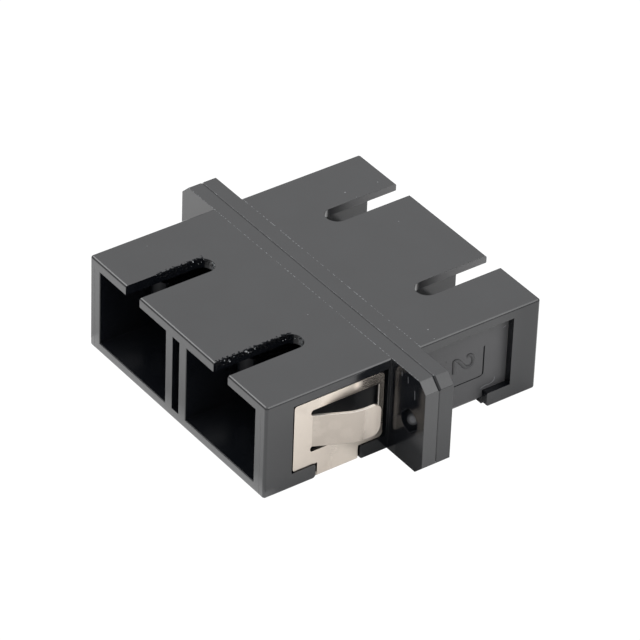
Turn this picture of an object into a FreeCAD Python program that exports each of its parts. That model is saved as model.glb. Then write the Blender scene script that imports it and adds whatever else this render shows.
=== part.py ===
import FreeCAD, Part
import os
import re
import Sketcher

# Duplex adapter for square push-pull fibre plugs, in millimetres.
# X runs across the two ports, the clip side faces -Y, and Z is up from the underside.
# The weld seam between the two housings lies at Y = 0.

SIZES = [
    # Housing, one moulding used twice
    ("body_width", 25.4, "outside, across both ports"),
    ("body_height", 9.1, "outside, flange and body alike"),
    ("half_length", 13.8, "weld seam to port mouth"),
    ("corner_round", 0.25, "upright corners of the mouth"),
    ("edge_round", 0.2, "long outer edges and rim of the mouth"),
    ("flange_width", 34.6, "outside"),
    ("flange_half", 1.42, "flange thickness on one housing"),
    ("flange_chamfer", 0.86, "four corners of the flange"),
    ("seam_chamfer", 0.06, "edge of the weld seam"),
    ("seam_notch", 0.15, "the same edge, on the four cut corners of the flange"),
    ("screw_pitch", 30.7, "between the two panel screw holes"),
    ("screw_hole", 2.2, "diameter"),
    ("port_pitch", 12.7, "between the two plug axes"),
    ("port_width", 9.75, "opening for one plug"),
    ("port_rim", 0.92, "roof and floor of a port"),
    ("rear_lift", 0.2, "roof of the rear ports above that of the front ones"),
    ("mouth_lead", 0.05, "edges of the ports at the mouth, cut off"),
    ("web_slot", 1.0, "hollow between the two port walls"),
    ("web_wall", 0.92, "roof and floor of that hollow"),
    ("web_depth", 10.0, "of that hollow, from the mouth"),
    ("key_width", 2.05, "keyway for the plug's key"),
    ("key_length", 8.0, "keyway, from the mouth to its round end"),
    # Pockets for the clip, on both sides of each housing
    ("recess_depth", 0.7, "clip pocket in the side wall"),
    ("recess_start", 1.66, "seam to the near end of the pocket"),
    ("recess_end", 11.08, "seam to the far end of the pocket"),
    ("recess_floor", 1.43, "height of the lips that hold the clip"),
    ("recess_top", 8.2, "top of the pocket"),
    ("gap_start", 4.24, "seam to the gap between the lips"),
    ("gap_end", 8.7, "seam to the far side of that gap"),
    ("lip_round", 0.13, "upper corners of the lips at the gap"),
    ("lip_slope", 0.27, "lower corners of the lips at the gap, cut off"),
    ("channel_depth", 0.3, "clip channel across the underside"),
    ("channel_round", 0.6, "edge that the clip bends around"),
    # Clip, one strip of spring steel
    ("clip_stock", 0.25, "sheet thickness"),
    ("clip_inset", 0.12, "side wall of the body to the face of the clip"),
    ("clip_bend", 0.33, "outside radius of the two lower bends"),
    ("clip_fit", 0.25, "play of the strap in the gap between the lips"),
    ("strap_gap", 0.14, "the same, at the end near the seam"),
    ("wing_fit", 0.2, "play of the wing in its pocket"),
    ("wing_gap", 0.32, "the same, at the end near the seam"),
    ("wing_round", 0.25, "corners of the wing"),
    ("wing_corner", 0.45, "the same, at the end near the seam"),
    ("window_start", 2.46, "seam to the near edge of the window"),
    ("window_low", 2.8, "height of the lower edge of the window"),
    ("window_high", 6.98, "height of the upper edge of the window"),
    ("tongue_low", 3.34, "lower edge of the tongue"),
    ("tongue_high", 6.42, "upper edge of the tongue"),
    ("tongue_root", 9.08, "seam to the bend at the root of the tongue"),
    ("tongue_tip", 3.41, "seam to the free end of the tongue"),
    ("tongue_reach", 1.62, "free end of the tongue out from the wing"),
    ("tongue_angle", 25.6, "degrees, lower part of the tongue"),
    ("tongue_bend", 4.6, "outside radius of the second bend"),
    ("tongue_round", 0.9, "lower corner of the free end"),
    ("tongue_corner", 0.75, "upper corner of the free end"),
    # Latch insert, one moulding used four times
    ("seat_margin", 0.4, "insert seat beyond the port, all round"),
    ("seat_depth", 1.4, "insert seat, from the seam"),
    ("insert_fit", 0.05, "play of the insert plate in its seat"),
    ("tube_outside", 4.9, "diameter of the sleeve holder"),
    ("tube_length", 6.4, "seam to the end of the sleeve holder"),
    ("tube_lip", 0.6, "end lip that keeps the sleeve in"),
    ("ferrule_hole", 2.85, "diameter through that lip"),
    ("ferrule_lead", 0.3, "funnel in front of the ferrule hole"),
    ("tube_root", 0.3, "slope between sleeve holder and plate"),
    ("arm_inside", 3.85, "plug axis to the inside of a latch arm"),
    ("arm_thickness", 0.65, "latch arm"),
    ("arm_width", 2.8, "latch arm, up and down"),
    ("arm_length", 8.95, "seam to the tip of a latch arm"),
    ("hook_height", 0.7, "hook, inwards from the arm"),
    ("hook_ramp", 0.65, "lead-in slope of the hook"),
    ("hook_crest", 0.3, "flat top of the hook"),
    ("hook_back", 0.15, "slope of the holding face"),
    ("tip_blunt", 0.3, "thickness left at the tip of the arm"),
    # Alignment sleeve, split ceramic tube
    ("sleeve_outside", 3.2, "diameter"),
    ("sleeve_bore", 2.49, "diameter, grips the ferrules"),
    ("sleeve_length", 11.4, "whole length"),
    ("sleeve_slit", 0.5, "width of the slit"),
    ("sleeve_edge", 0.15, "chamfer inside both ends"),
    ("sleeve_play", 0.075, "around the sleeve in its holder"),
]

HALF_WIDTH = "body_width / 2"
HALF_FLANGE = "flange_width / 2"
AXIS_HEIGHT = "body_height / 2"
PORT_X = "port_pitch / 2"
PORT_TOP = "(body_height / 2 - port_rim)"
RECESS_FACE = "(body_width / 2 - recess_depth)"
CLIP_OUTSIDE = "(body_width / 2 - clip_inset)"
CLIP_INSIDE = "(body_width / 2 - clip_inset - clip_stock)"
TONGUE_TURN = "(tongue_reach / tan(tongue_angle * 1 deg))"
HOLDER_BORE = "(sleeve_outside / 2 + sleeve_play)"
PLATE_THICKNESS = "(seat_depth - insert_fit)"

doc = FreeCAD.newDocument("duplex_adapter")
sheet = doc.addObject("Spreadsheet::Sheet", "Sizes")
for row, (alias, number, meaning) in enumerate(SIZES, start=1):
    sheet.set("A%d" % row, alias)
    sheet.set("B%d" % row, str(number))
    sheet.set("C%d" % row, meaning)
    sheet.setAlias("B%d" % row, alias)
doc.recompute()


def bound(text):
    """Turns the plain size names in a formula into references to the sheet."""
    return re.sub(r"\b[a-z]+_[a-z_]+\b", lambda found: "Sizes." + found.group(), text)


def value(text):
    """The present value of a formula, as a number."""
    result = sheet.evalExpression(bound(text))
    return float(getattr(result, "Value", result))


def sketch(body, name, plane, lift="0"):
    """An empty sketch on one of the body's own planes, moved along that plane's normal."""
    support = [feature for feature in body.Origin.OriginFeatures if feature.Role == plane][0]
    drawing = body.newObject("Sketcher::SketchObject", name)
    drawing.AttachmentSupport = [(support, "")]
    drawing.MapMode = "FlatFace"
    drawing.setExpression(".AttachmentOffset.Base.z", bound(lift))
    return drawing


def fix_point(drawing, line, end, across, up):
    """Holds one point of a sketch at two distances from the sketch's origin."""
    for kind, text in (("DistanceX", across), ("DistanceY", up)):
        if text is None:
            continue
        number = drawing.addConstraint(Sketcher.Constraint(kind, -1, 1, line, end, value(text)))
        drawing.setExpression("Constraints[%d]" % number, bound(text))


def loop(drawing, corners):
    """A closed run of straight lines through the corners, each given by two formulas."""
    places = [FreeCAD.Vector(value(across), value(up), 0) for across, up in corners]
    lines = []
    for start, end in zip(places, places[1:] + places[:1]):
        lines.append(drawing.addGeometry(Part.LineSegment(start, end), False))
    for line, following in zip(lines, lines[1:] + lines[:1]):
        drawing.addConstraint(Sketcher.Constraint("Coincident", line, 2, following, 1))
    for line, (across, up) in zip(lines, corners):
        fix_point(drawing, line, 1, across, up)


def rectangle(drawing, left, bottom, right, top):
    loop(drawing, [(left, bottom), (right, bottom), (right, top), (left, top)])


def circle(drawing, across, up, diameter):
    centre = FreeCAD.Vector(value(across), value(up), 0)
    ring = drawing.addGeometry(Part.Circle(centre, FreeCAD.Vector(0, 0, 1), value(diameter) / 2), False)
    number = drawing.addConstraint(Sketcher.Constraint("Diameter", ring, value(diameter)))
    drawing.setExpression("Constraints[%d]" % number, bound(diameter))
    fix_point(drawing, ring, 3, across, up)


def round_slot(drawing, centre, mouth, end, width):
    """A slot along the sketch's second axis: square at the mouth, half round at its end."""
    left = "%s - %s / 2" % (centre, width)
    right = "%s + %s / 2" % (centre, width)
    turn = "%s - %s / 2" % (end, width)
    corners = [(right, turn), (right, mouth), (left, mouth), (left, turn)]
    places = [FreeCAD.Vector(value(across), value(up), 0) for across, up in corners]
    lines = []
    for start, stop in zip(places[:-1], places[1:]):
        lines.append(drawing.addGeometry(Part.LineSegment(start, stop), False))
    crown = FreeCAD.Vector(value(centre), value(end), 0)
    lines.append(drawing.addGeometry(Part.Arc(places[0], crown, places[-1]), False))
    for line, following in zip(lines[:2], lines[1:3]):
        drawing.addConstraint(Sketcher.Constraint("Coincident", line, 2, following, 1))
    drawing.addConstraint(Sketcher.Constraint("Coincident", lines[3], 1, lines[0], 1))
    drawing.addConstraint(Sketcher.Constraint("Coincident", lines[3], 2, lines[2], 2))
    for line, (across, up) in zip(lines[:3], corners):
        fix_point(drawing, line, 1, across, up)
    fix_point(drawing, lines[2], 2, left, turn)
    fix_point(drawing, lines[3], 3, None, turn)


def shaped(body, kind, name, drawing, depth, reverse=False, middle=False):
    """A pad or pocket, with a test that it really added or removed material."""
    before = body.Shape.Volume if body.Tip else 0
    feature = body.newObject("PartDesign::" + kind, name)
    feature.Profile = drawing
    feature.setExpression("Length", bound(depth))
    feature.Reversed = reverse
    feature.Midplane = middle
    body.Tip = feature
    doc.recompute()
    change = body.Shape.Volume - before
    if change * {"Pad": 1, "Pocket": -1}[kind] <= 0:
        raise ValueError("%s of %s changed the volume by %.4f" % (name, body.Label, change))
    return feature


def pad(body, name, drawing, depth, reverse=False, middle=False):
    return shaped(body, "Pad", name, drawing, depth, reverse, middle)


def pocket(body, name, drawing, depth, reverse=False, middle=False):
    return shaped(body, "Pocket", name, drawing, depth, reverse, middle)


def mirror(body, name, features):
    """Repeats features on the other side of the body's YZ plane."""
    plane = [feature for feature in body.Origin.OriginFeatures if feature.Role == "YZ_Plane"][0]
    mirrored = body.newObject("PartDesign::Mirrored", name)
    mirrored.Originals = features
    mirrored.MirrorPlane = (plane, [""])
    body.Tip = mirrored
    doc.recompute()


def edges_at(body, places):
    """Names of the edges that lie whole at one of the places, such as {"x": 12.7, "z": 0}."""
    names = []
    for number, edge in enumerate(body.Shape.Edges, start=1):
        points = edge.discretize(3)
        for place in places:
            if all(abs(getattr(point, axis) - at) < 1e-4 for point in points for axis, at in place.items()):
                names.append("Edge%d" % number)
                break
    if not names:
        raise ValueError("no edge of %s at %s" % (body.Label, places))
    return names


def slanted(body, name):
    """True for a straight edge that runs along neither X nor Z."""
    start, end = [vertex.Point for vertex in body.Shape.getElement(name).Vertexes]
    return abs(end.x - start.x) > 1e-4 and abs(end.z - start.z) > 1e-4


def dressed(body, kind, name, size, edges):
    """A fillet or chamfer on named edges of the body as it stands."""
    before = body.Tip
    feature = body.newObject("PartDesign::" + kind, name)
    feature.Base = (before, edges)
    feature.setExpression({"Fillet": "Radius", "Chamfer": "Size"}[kind], bound(size))
    body.Tip = feature
    doc.recompute()


def housing(name, x_turn, roof_lift):
    """One half of the shell: ports, keyways, insert seats, clip pockets and half the flange."""
    body = doc.addObject("PartDesign::Body", name)
    body.Label = name
    half_width = value(HALF_WIDTH)
    length = value("half_length")
    height = value("body_height")

    outline = sketch(body, name + "_outline", "XZ_Plane")
    rectangle(outline, "-" + HALF_WIDTH, "0", HALF_WIDTH, "body_height")
    pad(body, name + "_shell", outline, "half_length")
    corners = [{"x": side * half_width, "y": -length} for side in (-1, 1)]
    dressed(body, "Fillet", name + "_corners", "corner_round", edges_at(body, corners))
    seam = set(edges_at(body, [{"y": 0}]))
    rims = [edge for edge in edges_at(body, [{"z": 0}, {"z": height}]) if edge not in seam]
    dressed(body, "Fillet", name + "_rims", "edge_round", rims)

    flange = sketch(body, name + "_flange_outline", "XZ_Plane")
    low, high = "flange_chamfer", "body_height - flange_chamfer"
    inner, outer = "(flange_width / 2 - flange_chamfer)", HALF_FLANGE
    right = [(inner, "0"), (outer, low), (outer, high), (inner, "body_height")]
    left = [("-" + across, up) for across, up in reversed(right)]
    loop(flange, right + left)
    pad(body, name + "_flange", flange, "flange_half")
    seam = edges_at(body, [{"y": 0}])
    cut_corners = [edge for edge in seam if slanted(body, edge)]
    dressed(body, "Chamfer", name + "_seam", "seam_chamfer", [edge for edge in seam if edge not in cut_corners])
    cut_corners = [edge for edge in edges_at(body, [{"y": 0}]) if slanted(body, edge)]
    dressed(body, "Chamfer", name + "_notch", "seam_notch", cut_corners)

    ports = sketch(body, name + "_port_outline", "XZ_Plane")
    seats = sketch(body, name + "_seat_outline", "XZ_Plane")
    keys = sketch(body, name + "_key_outline", "XY_Plane", "body_height")
    for side in ("-", ""):
        across = side + PORT_X
        rectangle(ports, across + " - port_width / 2", AXIS_HEIGHT + " - " + PORT_TOP,
                  across + " + port_width / 2", AXIS_HEIGHT + " + " + PORT_TOP + " + " + roof_lift)
        rectangle(seats, across + " - port_width / 2 - seat_margin",
                  AXIS_HEIGHT + " - " + PORT_TOP + " - seat_margin",
                  across + " + port_width / 2 + seat_margin",
                  AXIS_HEIGHT + " + " + PORT_TOP + " + seat_margin")
        round_slot(keys, across, "-half_length - key_width", "-half_length + key_length", "key_width")
    pocket(body, name + "_ports", ports, "half_length", reverse=True)
    walls = [side * value("%s %s port_width / 2" % (PORT_X, sign)) for side in (-1, 1) for sign in "-+"]
    levels = [value("port_rim"), value("body_height - port_rim + " + roof_lift)]
    mouths = [{"x": wall, "y": -length} for wall in walls] + [{"z": level, "y": -length} for level in levels]
    dressed(body, "Chamfer", name + "_mouths", "mouth_lead", edges_at(body, mouths))
    pocket(body, name + "_seats", seats, "seat_depth", reverse=True)
    pocket(body, name + "_keys", keys, AXIS_HEIGHT)

    web = sketch(body, name + "_web_outline", "XZ_Plane", "half_length")
    rectangle(web, "-web_slot / 2", "web_wall", "web_slot / 2", "body_height - web_wall")
    pocket(body, name + "_web", web, "web_depth")

    screws = sketch(body, name + "_screw_outline", "XZ_Plane")
    for side in ("-", ""):
        circle(screws, side + "screw_pitch / 2", AXIS_HEIGHT, "screw_hole")
    pocket(body, name + "_screws", screws, "flange_half", reverse=True)

    recess = sketch(body, name + "_recess_outline", "YZ_Plane", HALF_WIDTH)
    loop(recess, [("-recess_start", "recess_floor"), ("-recess_start", "recess_top"),
                  ("-recess_end", "recess_top"), ("-recess_end", "recess_floor"),
                  ("-gap_end", "recess_floor"), ("-gap_end", "0"),
                  ("-gap_start", "0"), ("-gap_start", "recess_floor")])
    side_pocket = pocket(body, name + "_recess", recess, "recess_depth")
    mirror(body, name + "_recess_mirrored", [side_pocket])
    lips = [{"y": -value(y), "z": value("recess_floor")} for y in ("gap_start", "gap_end")]
    dressed(body, "Fillet", name + "_lips", "lip_round", edges_at(body, lips))

    channel = sketch(body, name + "_channel_outline", "XY_Plane")
    rectangle(channel, "-" + RECESS_FACE, "-gap_end", RECESS_FACE, "-gap_start")
    pocket(body, name + "_channel", channel, "channel_depth", reverse=True)
    bends = [{"x": side * value(RECESS_FACE), "z": value("channel_depth")} for side in (-1, 1)]
    dressed(body, "Fillet", name + "_channel_bends", "channel_round", edges_at(body, bends))
    slopes = sketch(body, name + "_lip_slope_outline", "YZ_Plane", HALF_WIDTH)
    for lip, away in (("-gap_end", " - "), ("-gap_start", " + ")):
        loop(slopes, [(lip, "lip_slope"), (lip, "-edge_round"),
                      (lip + away + "(lip_slope + edge_round)", "-edge_round")])
    lip_slopes = pocket(body, name + "_lip_slopes", slopes, "recess_depth")
    mirror(body, name + "_lip_slopes_mirrored", [lip_slopes])

    body.Placement = FreeCAD.Placement(FreeCAD.Vector(0, 0, 0), FreeCAD.Rotation(FreeCAD.Vector(0, 0, 1), x_turn))
    return body


def panel_clip(name):
    """Spring clip: a strap under the front housing, two wings and a bent-out tongue in each."""
    body = doc.addObject("PartDesign::Body", name)
    body.Label = name
    outside = value(CLIP_OUTSIDE)
    inside = value(CLIP_INSIDE)
    stock = value("clip_stock")
    strap_start = "(gap_start + strap_gap)"
    strap_end = "(gap_end - clip_fit)"
    leg_top = "(recess_floor + wing_fit + wing_round)"

    strap = sketch(body, name + "_strap_outline", "XZ_Plane", strap_start)
    loop(strap, [("-" + CLIP_OUTSIDE, "0"), (CLIP_OUTSIDE, "0"),
                 (CLIP_OUTSIDE, leg_top), (CLIP_INSIDE, leg_top),
                 (CLIP_INSIDE, "clip_stock"), ("-" + CLIP_INSIDE, "clip_stock"),
                 ("-" + CLIP_INSIDE, leg_top), ("-" + CLIP_OUTSIDE, leg_top)])
    pad(body, name + "_strap", strap, strap_end + " - " + strap_start)
    outer = edges_at(body, [{"x": side * outside, "z": 0} for side in (-1, 1)])
    dressed(body, "Fillet", name + "_outer_bends", "clip_bend", outer)
    inner = edges_at(body, [{"x": side * inside, "z": stock} for side in (-1, 1)])
    dressed(body, "Fillet", name + "_inner_bends", "clip_bend - clip_stock", inner)

    near, far = "-(recess_start + wing_gap)", "-(recess_end - wing_fit)"
    low, high = "(recess_floor + wing_fit / 4)", "(recess_top - wing_fit)"
    wing_outline = sketch(body, name + "_wing_outline", "YZ_Plane", CLIP_INSIDE)
    rectangle(wing_outline, far, low, near, high)
    wing = pad(body, name + "_wing", wing_outline, "clip_stock")
    mirror(body, name + "_wing_mirrored", [wing])
    for end, size in ((far, "wing_round"), (near, "wing_corner")):
        places = [{"y": value(end), "z": value(level)} for level in (low, high)]
        dressed(body, "Fillet", name + "_" + size, size, edges_at(body, places))

    window_outline = sketch(body, name + "_window_outline", "YZ_Plane", CLIP_INSIDE)
    rectangle(window_outline, "-tongue_root", "window_low", "-window_start", "window_high")
    window = pocket(body, name + "_window", window_outline, "clip_stock", reverse=True)
    cuts = [window]
    for place, bottom, top in (("lower", "window_low", "tongue_low"), ("upper", "tongue_high", "window_high")):
        relief_outline = sketch(body, name + "_" + place + "_relief_outline", "YZ_Plane", CLIP_INSIDE)
        middle, width = "((%s + %s) / 2)" % (bottom, top), "(%s - %s)" % (top, bottom)
        circle(relief_outline, "-tongue_root + %s / 4" % width, middle, width)
        cuts.append(pocket(body, name + "_" + place + "_relief", relief_outline, "clip_stock", reverse=True))
    mirror(body, name + "_window_mirrored", cuts)

    tongue_outline = sketch(body, name + "_tongue_outline", "XY_Plane", "tongue_low")
    skin = "clip_stock / cos(tongue_angle * 1 deg)"
    loop(tongue_outline, [
        (CLIP_OUTSIDE, "-tongue_root - clip_stock"),
        (CLIP_OUTSIDE, "-tongue_root"),
        (CLIP_OUTSIDE + " + tongue_reach", "-tongue_root + " + TONGUE_TURN),
        (CLIP_OUTSIDE + " + tongue_reach", "-tongue_tip"),
        (CLIP_INSIDE + " + tongue_reach", "-tongue_tip"),
        (CLIP_INSIDE + " + tongue_reach",
         "-tongue_root + " + TONGUE_TURN + " + clip_stock * tan(tongue_angle / 2 * 1 deg)"),
        (CLIP_INSIDE, "-tongue_root + clip_stock * tan(tongue_angle / 2 * 1 deg)"),
        (CLIP_INSIDE, "-tongue_root - clip_stock"),
    ])
    tongue = pad(body, name + "_tongue", tongue_outline, "tongue_high - tongue_low")
    mirror(body, name + "_tongue_mirrored", [tongue])
    turn = value("-tongue_root + " + TONGUE_TURN)
    reach = value(CLIP_OUTSIDE + " + tongue_reach")
    outer = edges_at(body, [{"x": side * reach, "y": turn} for side in (-1, 1)])
    dressed(body, "Fillet", name + "_outer_tongue_bend", "tongue_bend", outer)
    turn = turn + value("clip_stock * tan(tongue_angle / 2 * 1 deg)")
    inner = edges_at(body, [{"x": side * (reach - stock), "y": turn} for side in (-1, 1)])
    dressed(body, "Fillet", name + "_inner_tongue_bend", "tongue_bend - clip_stock", inner)
    for end, size in (("low", "tongue_round"), ("high", "tongue_corner")):
        tips = edges_at(body, [{"y": value("-tongue_tip"), "z": value("tongue_" + end)}])
        dressed(body, "Fillet", name + "_tongue_corner_" + end, size, tips)
    return body


def latch_insert(name, x_side, turn):
    """Inner moulding behind one port: seat plate, sleeve holder and two latch arms with hooks."""
    body = doc.addObject("PartDesign::Body", name)
    body.Label = name
    half_wide = "(port_width / 2 + seat_margin - insert_fit)"
    half_high = "(%s + seat_margin - insert_fit)" % PORT_TOP

    plate = sketch(body, name + "_plate_outline", "XZ_Plane")
    rectangle(plate, "-" + half_wide, "-" + half_high, half_wide, half_high)
    pad(body, name + "_plate", plate, PLATE_THICKNESS)

    tube = sketch(body, name + "_tube_outline", "XZ_Plane")
    circle(tube, "0", "0", "tube_outside")
    pad(body, name + "_tube", tube, "tube_length")
    foot = [edge for edge in edges_at(body, [{"y": -value(PLATE_THICKNESS)}])
            if body.Shape.getElement(edge).Curve.TypeId == "Part::GeomCircle"]
    dressed(body, "Chamfer", name + "_tube_root", "tube_root", foot)
    bore = sketch(body, name + "_bore_outline", "XZ_Plane")
    circle(bore, "0", "0", "2 * " + HOLDER_BORE)
    pocket(body, name + "_bore", bore, "tube_length - tube_lip", reverse=True)
    nose = sketch(body, name + "_nose_outline", "XZ_Plane", "tube_length")
    circle(nose, "0", "0", "ferrule_hole")
    pocket(body, name + "_nose", nose, "tube_lip")
    mouth = [edge for edge in edges_at(body, [{"y": -value("tube_length")}])
             if body.Shape.getElement(edge).Curve.Radius < value(HOLDER_BORE)]
    dressed(body, "Chamfer", name + "_nose_lead", "ferrule_lead", mouth)

    arm = sketch(body, name + "_arm_outline", "XY_Plane")
    back = "(arm_inside + arm_thickness)"
    crest = "(arm_inside - hook_height)"
    loop(arm, [("arm_inside", "-" + PLATE_THICKNESS + " / 2"),
               ("arm_inside", "-arm_length + hook_ramp + hook_crest + hook_back"),
               (crest, "-arm_length + hook_ramp + hook_crest"),
               (crest, "-arm_length + hook_ramp"),
               (back + " - tip_blunt", "-arm_length"),
               (back, "-arm_length"),
               (back, "-" + PLATE_THICKNESS + " / 2")])
    right_arm = pad(body, name + "_arm", arm, "arm_width", middle=True)
    opening = sketch(body, name + "_opening_outline", "XZ_Plane")
    rectangle(opening, crest, "-arm_width / 2", "arm_inside", "arm_width / 2")
    core = pocket(body, name + "_opening", opening, PLATE_THICKNESS, reverse=True)
    mirror(body, name + "_arm_mirrored", [right_arm, core])

    body.Placement.Rotation = FreeCAD.Rotation(FreeCAD.Vector(0, 0, 1), turn)
    body.setExpression(".Placement.Base.x", bound(x_side + PORT_X))
    body.setExpression(".Placement.Base.z", bound(AXIS_HEIGHT))
    return body


def sleeve(name, x_side):
    """Split sleeve that lines up the two ferrules, loose in its two holders."""
    body = doc.addObject("PartDesign::Body", name)
    body.Label = name
    ring = sketch(body, name + "_ring_outline", "XZ_Plane")
    circle(ring, "0", "0", "sleeve_outside")
    circle(ring, "0", "0", "sleeve_bore")
    pad(body, name + "_ring", ring, "sleeve_length", middle=True)
    rims = [edge for edge in edges_at(body, [{"y": side * value("sleeve_length / 2")} for side in (-1, 1)])
            if body.Shape.getElement(edge).Curve.Radius < value("sleeve_outside / 2")]
    dressed(body, "Chamfer", name + "_rims", "sleeve_edge", rims)
    slit = sketch(body, name + "_slit_outline", "XY_Plane")
    rectangle(slit, "-sleeve_slit / 2", "-sleeve_length / 2", "sleeve_slit / 2", "sleeve_length / 2")
    pocket(body, name + "_slit", slit, "sleeve_outside", reverse=True)
    body.setExpression(".Placement.Base.x", bound(x_side + PORT_X))
    body.setExpression(".Placement.Base.z", bound(AXIS_HEIGHT))
    return body


pieces = [housing("front_housing", 0, "0"), housing("rear_housing", 180, "rear_lift"), panel_clip("panel_clip")]
for end, turn in (("front", 0), ("rear", 180)):
    for hand, side in (("left", "-"), ("right", "")):
        pieces.append(latch_insert("latch_insert_%s_%s" % (end, hand), side, turn))
for hand, side in (("left", "-"), ("right", "")):
    pieces.append(sleeve("alignment_sleeve_" + hand, side))
doc.recompute()

for item in doc.Objects:
    if any(state in ("Invalid", "Error") for state in item.State):
        raise RuntimeError("%s did not build: %s" % (item.Name, item.State))
for piece in pieces:
    if piece.Shape.isNull() or not piece.Shape.isValid() or len(piece.Shape.Solids) != 1:
        raise RuntimeError("%s is not one valid solid" % piece.Label)

os.makedirs("parts", exist_ok=True)
for piece in pieces:
    piece.Shape.exportStep("parts/%s.step" % piece.Label)
    box = piece.Shape.BoundBox
    print("%-28s volume %8.2f  x %.2f..%.2f  y %.2f..%.2f  z %.2f..%.2f" % (
        piece.Label, piece.Shape.Volume, box.XMin, box.XMax, box.YMin, box.YMax, box.ZMin, box.ZMax))
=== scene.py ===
# %% [markdown]
# A duplex fibre adapter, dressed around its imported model.
#
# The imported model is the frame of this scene: nine plain solids in metres, with the weld seam at Y = 0 and
# the underside at Z = 0. The lesson puts a camera, a floor and light around them first, then gives each solid
# the finish of the real piece, and then adds the small marks that the mould, the saw and handling left
# behind.

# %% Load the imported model
import math
import random

import bpy
from mathutils import Matrix, Vector


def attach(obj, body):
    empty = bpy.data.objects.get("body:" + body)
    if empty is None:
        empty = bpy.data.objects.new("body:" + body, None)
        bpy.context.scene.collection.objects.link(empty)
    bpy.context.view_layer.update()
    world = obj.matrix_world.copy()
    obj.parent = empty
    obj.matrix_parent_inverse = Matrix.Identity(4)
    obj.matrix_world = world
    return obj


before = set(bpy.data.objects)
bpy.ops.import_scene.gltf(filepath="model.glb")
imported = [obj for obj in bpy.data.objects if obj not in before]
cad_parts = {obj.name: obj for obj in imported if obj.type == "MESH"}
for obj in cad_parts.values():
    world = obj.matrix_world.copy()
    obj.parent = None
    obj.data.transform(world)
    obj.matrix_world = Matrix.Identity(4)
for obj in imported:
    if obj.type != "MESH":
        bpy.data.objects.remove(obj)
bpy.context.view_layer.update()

MM = 0.001
print("nodes:", sorted(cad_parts))

# %% [markdown]
# The camera comes first, because every later choice is judged through it. A photographer shot the adapter
# from the clip side with a long lens, so the sides hardly taper. The lens is given as a focal length for a
# sensor 36 mm wide, and the place as two angles, a small roll and a distance from a point at half the
# adapter's height. A camera could also be placed by hand, but angles say exactly where it stood.

# %% Camera
AIM = Vector((0.0, 0.0, 4.65)) * MM
AZIMUTH = math.radians(53.093)
ELEVATION = math.radians(35.837)
ROLL = math.radians(2.227)
DISTANCE = 386.01 * MM
SIDEWAYS = -0.5773 * MM
UPWARDS = -0.0421 * MM
FOCAL_LENGTH = 261.45
NEAREST_SEEN = 10.0 * MM
FARTHEST_SEEN = 20000.0 * MM


def place_camera():
    """A camera whose axes are turned and moved as the photograph's were."""
    back = Vector((math.sin(AZIMUTH) * math.cos(ELEVATION),
                   -math.cos(AZIMUTH) * math.cos(ELEVATION),
                   math.sin(ELEVATION)))
    level = Vector((math.cos(AZIMUTH), math.sin(AZIMUTH), 0.0))
    upright = back.cross(level)
    right = math.cos(ROLL) * level + math.sin(ROLL) * upright
    up = -math.sin(ROLL) * level + math.cos(ROLL) * upright
    turn = Matrix((right, up, back)).transposed()
    centre = AIM + turn @ Vector((-SIDEWAYS, -UPWARDS, DISTANCE))
    data = bpy.data.cameras.new("long_lens")
    data.lens = FOCAL_LENGTH
    data.clip_start = NEAREST_SEEN
    data.clip_end = FARTHEST_SEEN
    camera = bpy.data.objects.new("camera", data)
    bpy.context.scene.collection.objects.link(camera)
    camera.matrix_world = Matrix.Translation(centre) @ turn.to_4x4()
    bpy.context.scene.camera = camera
    return centre


print("camera stands at", [round(value / MM, 1) for value in place_camera()], "mm")

# %% [markdown]
# A material is a small tree of nodes. It could be drawn by hand in the shader editor, but a few helpers
# keep the cells below short and make each step readable. One starts a material and finds its shader, one
# adds a node and sets its values, one joins two sockets and one does a sum.

# %% Nodes, joins and sums
WHITE = (1.0, 1.0, 1.0, 1.0)
BLACK = (0.0, 0.0, 0.0, 1.0)


def new_material(name):
    """A node material and its Principled shader."""
    material = bpy.data.materials.new(name)
    material.use_nodes = True
    return material, material.node_tree.nodes["Principled BSDF"]


def add_node(material, kind, settings=None, **inputs):
    """A node of one kind, with its own settings and its input values."""
    made = material.node_tree.nodes.new("ShaderNode" + kind)
    for name, value in (settings or {}).items():
        setattr(made, name, value)
    for name, value in inputs.items():
        made.inputs[name.replace("_", " ")].default_value = value
    return made


def join(material, source, target):
    """A link from one socket to another."""
    material.node_tree.links.new(source, target)


def sum_of(material, operation, *terms, clamp=False):
    """One step of arithmetic on sockets and plain numbers."""
    made = add_node(material, "Math", {"operation": operation, "use_clamp": clamp})
    for socket, term in zip(made.inputs, terms):
        if isinstance(term, (int, float)):
            socket.default_value = term
        else:
            join(material, term, socket)
    return made.outputs["Value"]


print("one millimetre is", MM, "of the scene's units")

# %% [markdown]
# Patterns need to know where on the adapter they are. Generated coordinates would stretch with each piece,
# so the patterns read Object coordinates, here turned into millimetres, and every size below is a size on
# the real piece. Noise gives the uneven values of real surfaces, a distance gives round spots, and a blend
# mixes two colours.

# %% Places, noise and colours
def millimetres(material):
    """Object coordinates in millimetres: the whole point, and X, Y and Z apart."""
    coordinates = add_node(material, "TexCoord")
    scaled = add_node(material, "VectorMath", {"operation": "SCALE"}, Scale=1.0 / MM)
    join(material, coordinates.outputs["Object"], scaled.inputs[0])
    parts = add_node(material, "SeparateXYZ")
    join(material, scaled.outputs["Vector"], parts.inputs[0])
    place = {axis.lower(): parts.outputs[axis] for axis in "XYZ"}
    place["point"] = scaled.outputs["Vector"]
    return place


def noise(material, place, scale, detail, stretch=(1.0, 1.0, 1.0)):
    """Soft random values round 0.5, with so many lumps to the millimetre."""
    fitted = add_node(material, "Mapping", Scale=stretch)
    join(material, place["point"], fitted.inputs["Vector"])
    grain = add_node(material, "TexNoise", Scale=scale, Detail=detail)
    join(material, fitted.outputs["Vector"], grain.inputs["Vector"])
    return grain.outputs["Fac"]


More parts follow.
